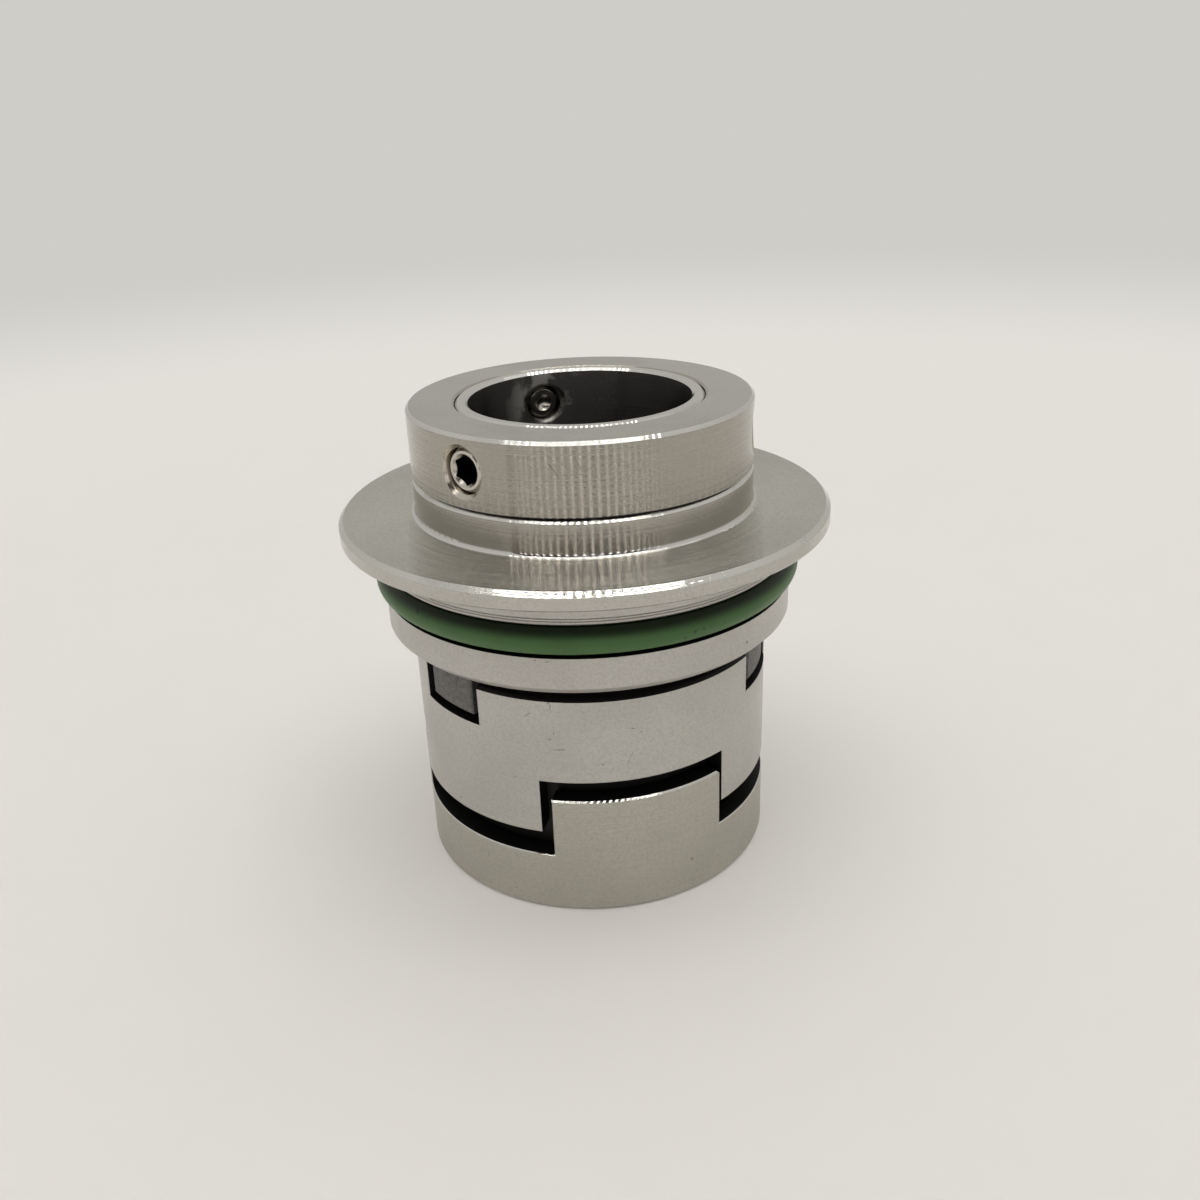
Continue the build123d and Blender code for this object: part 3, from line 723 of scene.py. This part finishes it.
# === centring bush =======================================================================================
# A plain bush, turned from filled bearing plastic and pressed in the hub. It keeps the gland central on the
# sleeve while the seal is carried and fitted.

bush_plastic = rubber("bush_plastic", (0.62, 0.60, 0.54), 0.5, 0.2)
dress("centring_bush", bush_plastic)

# === gland O-ring ========================================================================================
# The large green elastomer ring in the pilot's groove seals the gland in the pump head. It was moulded and
# shines softly along its crown, with dust and a few dark specks on it. Above its crown it is darkened with
# painted shade, where the flange above shades it.

crown = (o_ring_low.z + o_ring_high.z) / 2
# The green ring is darkened above its crown: painted shade under the flange.
green_rubber = rubber("green_rubber", (0.055, 0.13, 0.038), 0.36, 0.8,
                      shaded_from=crown + 0.0002, shaded_to=crown + 0.0011)
dress("gland_o_ring", green_rubber)

# === drive collar ========================================================================================
# The collar clamps the sleeve to the shaft. It is turned all over, with a bright chamfer at the top, and
# three countersunk and tapped holes take the set screws.

countersink_reach = 0.0027  # just wider than a countersink
skin = 0.00003
collar_nicks = [(-98.7, 45.6, 1.3, 0.07, -55), (-91.0, 45.9, 0.8, 0.04, -60)]
collar_steel = steel("turned_collar_steel", (0.455, 0.43, 0.38), 0.13, stretch=1.0, lean=2.0, rings=90000.0,
                     stain=0.4, wear_and_highlight=0.4, uneven=0.01, grain=0.0, speckle=0.8, nicks=collar_nicks)
collar_top_steel = steel("faced_collar_steel", (0.50, 0.488, 0.445), 0.2, stretch=0.8, lean=0.12,
                         rings=30000.0, stain=0.6, wear_and_highlight=0.4, speckle=1.0)
countersink_steel = steel("countersink_steel", (0.55, 0.51, 0.45), 0.2, wear_and_highlight=0.5)
collar = dress("drive_collar", collar_steel)


def off_screw_axis(point):
    """How far a point is from the axis of the nearest set screw."""
    level = point - Vector((0, 0, screw_height))
    return min((level - way * level.dot(way)).length for way in screw_ways if level.dot(way) < 0)


def in_screw_hole(middle, normal):
    """The walls and countersinks of the holes for the set screws."""
    below_wall = from_axis(middle) < hub_radius - skin and outwards(middle, normal) < 0.9
    return below_wall and off_screw_axis(middle) < countersink_reach


def is_top(middle, normal):
    """The faced top of the collar."""
    return normal.z > 0.95


def is_underneath(middle, normal):
    """The collar's underside, which is in shadow above the hub."""
    return normal.z < -0.9


dress_faces(collar, collar_top_steel, is_top)
# The collar's chamfers get the painted edge highlight.
dress_faces(collar, bright_edge, is_chamfer)
# Painted shade: the collar's underside is made near-black.
dress_faces(collar, painted_shade_steel, is_underneath)
dress_faces(collar, countersink_steel, in_screw_hole)

# === set screws ==========================================================================================
# Three nickel-plated socket set screws with dog points. They are screwed in through the collar, and their
# dogs pass through the sleeve's holes to grip the shaft. A hexagon key fits their sockets.

screw_face_radius = 0.01645
screw_length = 0.005
thread_crest = 0.0021
thread_root = 0.00178
thread_pitch = 0.0007
dog_radius = 0.0017
dog_length = 0.0014
dog_chamfer = 0.0003
dimple_radius = 0.0009
dimple_depth = 0.0004
end_chamfer = 0.0003
key_flat = 0.00125
socket_mouth = 0.0003
socket_depth = 0.0022
socket_point = 0.0026
socket_edge = 0.0002
key_corner = key_flat * 1.16  # just past the hexagon's corners
screw_sides = 72
rings_per_turn = 14


def round_ring(from_tip, radius):
    """One ring of a screw's skin, as pairs of height and radius."""
    return [(from_tip, radius)] * screw_sides


def thread_radius(from_tip, turn):
    """The thread's radius at a height and a share of a turn, run out at both of its ends."""
    wave = abs(2 * ((from_tip / thread_pitch - turn) % 1) - 1)
    flank = thread_root + (thread_crest - thread_root) * min(1, wave * 1.3)
    run_out = dog_radius + from_tip - dog_length
    chamfer = thread_crest - end_chamfer + screw_length - from_tip
    return min(flank, run_out, chamfer)


def hexagon(turn):
    """How far the hexagon socket's wall is from the screw's axis at a share of a turn."""
    return key_flat / math.cos((turn * math.tau + math.pi / 6) % (math.pi / 3) - math.pi / 6)


def set_screw_rings():
    """All the rings of a set screw, from its dog point, along the thread and into the socket."""
    turns = [side / screw_sides for side in range(screw_sides)]
    rings = []
    for step in range(1, 7):
        swing = step / 6 * math.pi / 2
        rings.append(round_ring(dimple_depth * (1 - math.sin(swing) ** 2), dimple_radius * math.sin(swing)))
    rings.append(round_ring(0, dog_radius - dog_chamfer))
    rings.append(round_ring(dog_chamfer, dog_radius))
    rings.append(round_ring(dog_length, dog_radius))
    threads = round((screw_length - dog_length) / thread_pitch * rings_per_turn)
    for step in range(1, threads + 1):
        from_tip = dog_length + (screw_length - dog_length) * step / threads
        rings.append([(from_tip, thread_radius(from_tip, turn)) for turn in turns])
    mouth = key_flat + socket_mouth
    rings.append(round_ring(screw_length, mouth))
    rings.append([(screw_length - max(0, mouth - hexagon(turn)), hexagon(turn)) for turn in turns])
    rings.append([(screw_length - socket_depth, hexagon(turn)) for turn in turns])
    rings.append(round_ring(screw_length - socket_depth, key_flat * 0.96))
    return rings


def set_screw(name, outward):
    """A threaded dog-point screw whose axis runs through the shaft's axis."""
    up = Vector((0, 0, 1))
    beside = up.cross(outward)
    base = outward * (screw_face_radius - screw_length) + up * screw_height
    rings = []
    for ring in set_screw_rings():
        points = []
        for side, (from_tip, radius) in enumerate(ring):
            turn = side / screw_sides * math.tau
            around = beside * math.cos(turn) + up * math.sin(turn)
            points.append(base + outward * from_tip + around * radius)
        rings.append(points)
    return loft(name, rings, base + outward * dimple_depth, base + outward * (screw_length - socket_point))


def in_socket(middle, normal):
    """The inside of a hexagon socket, but not its chamfered mouth."""
    below_face = screw_face_radius - from_axis(middle)
    return off_screw_axis(middle) < key_corner and socket_edge < below_face < socket_point + socket_edge


nickel = steel("nickel_plate", (0.58, 0.55, 0.50), 0.2, stain=0.5, wear_and_highlight=0.5)
# Painted shade: the inside of each hexagon socket is made near-black.
socket_painted_shade = steel("black_socket_painted_shade", (0.02, 0.019, 0.018), 0.5, stain=0.3, wear_and_highlight=0.1)
for i, inward in enumerate(screw_ways, start=1):
    screw = set_screw(f"socket_screw_{i}", -inward)
    screw.data.materials.append(nickel)
    dress_faces(screw, socket_painted_shade, in_socket)
    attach(screw, f"screw_{i}")
    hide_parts(f"set_screw_{i}")

# === floor, light and camera =============================================================================
# The seal stands on a sheet of pale paper in a small white tent that is open at the front. Small lamps stand
# in three strips: low in front, along the front of the roof, and overhead. The turned steel draws them out
# into fine lines.

far_floor = (0.62, 0.612, 0.58, 1.0)
bright_floor = (0.78, 0.755, 0.71, 1.0)
near_floor = (0.80, 0.788, 0.766, 1.0)
dark_room = ((0.075, 0.056, 0.052, 1.0), (0.056, 0.06, 0.06, 1.0))  # on the left and on the right
tent_wall = ((0.56, 0.55, 0.515, 1.0), (0.69, 0.68, 0.655, 1.0))  # low down and high up
warm_white = (1.0, 0.97, 0.93, 1.0)
bar_softness = 0.06
front_lamps = {"count": 21, "middle": 0.07095, "spacing": 0.0987, "share": 0.26}
roof_lamps = {"count": 21, "middle": 0.0, "spacing": 0.0575, "share": 0.3}
overhead_lamps = {"count": 19, "middle": 0.011, "spacing": 0.06, "share": 0.3}
overhead_fan = 0.88
front_power = 3.0
roof_power = 7.5
overhead_power = 6.0


def paper_floor():
    """A wide disc of pale paper that fades into the background far away."""
    mesh = bpy.data.meshes.new("paper_floor")
    form = bmesh.new()
    bmesh.ops.create_circle(form, cap_ends=True, radius=3.0, segments=96)
    form.to_mesh(mesh)
    form.free()
    floor = bpy.data.objects.new("paper_floor", mesh)
    bpy.context.scene.collection.objects.link(floor)
    floor.location.z = -0.00002
    material, tree, shader = start_material("pale_paper")
    place = place_on_seal(tree)
    away = vector(tree, "LENGTH", place)
    fibre = noise(tree, place, 60.0, 4.0)
    darker = shade(near_floor[:3], 0.97)
    fill(tree, shader.inputs["Base Color"], blend_colour(tree, fibre, darker, near_floor))
    shader.inputs["Roughness"].default_value = 0.75
    shader.inputs["Specular IOR Level"].default_value = 0.2
    far_tone = blend_colour(tree, ramp(tree, away, 0.2, 0.5), bright_floor, far_floor)
    glow = add(tree, "Emission", {"Color": far_tone, "Strength": 1.0})
    share = ramp(tree, away, 0.10, 0.30, 0.16)
    mixed = add(tree, "MixShader", {0: share, 1: shader.outputs[0], 2: glow})
    tree.links.new(mixed, tree.nodes["Material Output"].inputs["Surface"])
    mesh.materials.append(material)


def bars(tree, across, count, middle, spacing, share):
    """Evenly spaced lit bars: 1 on a bar and 0 between, from a value that runs across them."""
    start = middle - count / 2 * spacing
    steps = number(tree, "DIVIDE", minus(tree, across, start), spacing)
    above = number(tree, "GREATER_THAN", steps, 0.0)
    within = times(tree, above, number(tree, "LESS_THAN", steps, float(count)))
    off_middle = number(tree, "ABSOLUTE", minus(tree, number(tree, "FRACT", steps), 0.5))
    lit = ramp(tree, off_middle, share / 2 - bar_softness, share / 2 + bar_softness, 1.0, 0.0)
    return times(tree, lit, within)


def band(tree, value, low, high, soft):
    """1 where a value lies between two limits, with soft sides."""
    rise = ramp(tree, value, low - soft, low + soft)
    return times(tree, rise, ramp(tree, value, high - soft, high + soft, 1.0, 0.0))


def light_tent():
    """The world: white tent walls, a dark room seen through the open front, and three strips of lamps."""
    world = bpy.data.worlds.new("light_tent")
    bpy.context.scene.world = world
    world.use_nodes = True
    tree = world.node_tree
    towards = tree.nodes.new("ShaderNodeTexCoord").outputs["Generated"]
    x, y, z = apart(tree, towards)
    ahead = number(tree, "MAXIMUM", times(tree, y, -1.0), 0.001)
    above = number(tree, "MAXIMUM", z, 0.001)
    front_x = number(tree, "DIVIDE", x, ahead)
    front_z = number(tree, "DIVIDE", z, ahead)
    roof_x = number(tree, "DIVIDE", x, above)
    roof_y = number(tree, "DIVIDE", y, above)
    opening = times(tree, band(tree, front_x, -1.12, 1.12, 0.05), band(tree, front_z, -1.0, 2.2, 0.05))
    room = blend_colour(tree, ramp(tree, front_x, -0.2, 0.2), *dark_room)
    walls = blend_colour(tree, ramp(tree, z, 0.0, 0.9), *tent_wall)
    tent = blend_colour(tree, opening, walls, room)
    front_bars = bars(tree, front_x, **front_lamps)
    front_strip = times(tree, front_bars, band(tree, front_z, 0.05, 0.55, 0.02))
    roof_bars = bars(tree, roof_x, **roof_lamps)
    roof_strip = times(tree, roof_bars, band(tree, roof_y, -0.66, -0.28, 0.01))
    spread = number(tree, "MAXIMUM", minus(tree, 1.0, times(tree, roof_y, overhead_fan)), 0.01)
    overhead_bars = bars(tree, number(tree, "DIVIDE", roof_x, spread), **overhead_lamps)
    overhead_strip = times(tree, overhead_bars, band(tree, roof_y, -0.12, 0.12, 0.01))
    lit = times(tree, front_strip, front_power)
    for strip, power in ((roof_strip, roof_power), (overhead_strip, overhead_power)):
        lit = plus(tree, lit, times(tree, strip, power))
    seen = tree.nodes.new("ShaderNodeLightPath").outputs["Is Camera Ray"]
    tent_light = add(tree, "Background", {"Color": tent, "Strength": 1.0})
    bar_light = add(tree, "Background", {"Color": warm_white, "Strength": lit})
    both = add(tree, "AddShader", {0: tent_light, 1: bar_light})
    backdrop = add(tree, "Background", {"Color": far_floor, "Strength": 1.0})
    mixed = add(tree, "MixShader", {0: seen, 1: both, 2: backdrop})
    tree.links.new(mixed, tree.nodes["World Output"].inputs["Surface"])


def soft_lamp(name, place, size, power):
    """A square soft box that looks at the seal."""
    lamp = bpy.data.lights.new(name, "AREA")
    lamp.size = size
    lamp.energy = power
    holder = bpy.data.objects.new(name, lamp)
    holder.location = place
    holder.rotation_euler = (Vector((0, 0, 0.02)) - Vector(place)).to_track_quat("-Z", "Y").to_euler()
    bpy.context.scene.collection.objects.link(holder)


def camera(distance, height, pitch, yaw, roll, lens):
    """The camera in front of the seal, looking down on it."""
    pitch, yaw, roll = (math.radians(angle) for angle in (pitch, yaw, roll))
    view = bpy.data.cameras.new("camera")
    view.lens = lens
    view.sensor_width = 36.0
    view.clip_start = 0.005
    holder = bpy.data.objects.new("camera", view)
    level = Matrix.Rotation(-yaw, 4, "Z") @ Matrix.Rotation(math.pi / 2 - pitch, 4, "X")
    holder.matrix_world = Matrix.Translation((0, -distance, height)) @ level @ Matrix.Rotation(roll, 4, "Z")
    bpy.context.scene.collection.objects.link(holder)
    bpy.context.scene.camera = holder


paper_floor()
light_tent()
soft_lamp("roof_lamp", place=(0.05, 0.08, 0.36), size=0.25, power=0.11)
camera(distance=0.11058, height=0.07509, pitch=24.03, yaw=0.604, roll=-2.33, lens=34.35)
bpy.context.scene.view_settings.view_transform = "Standard"
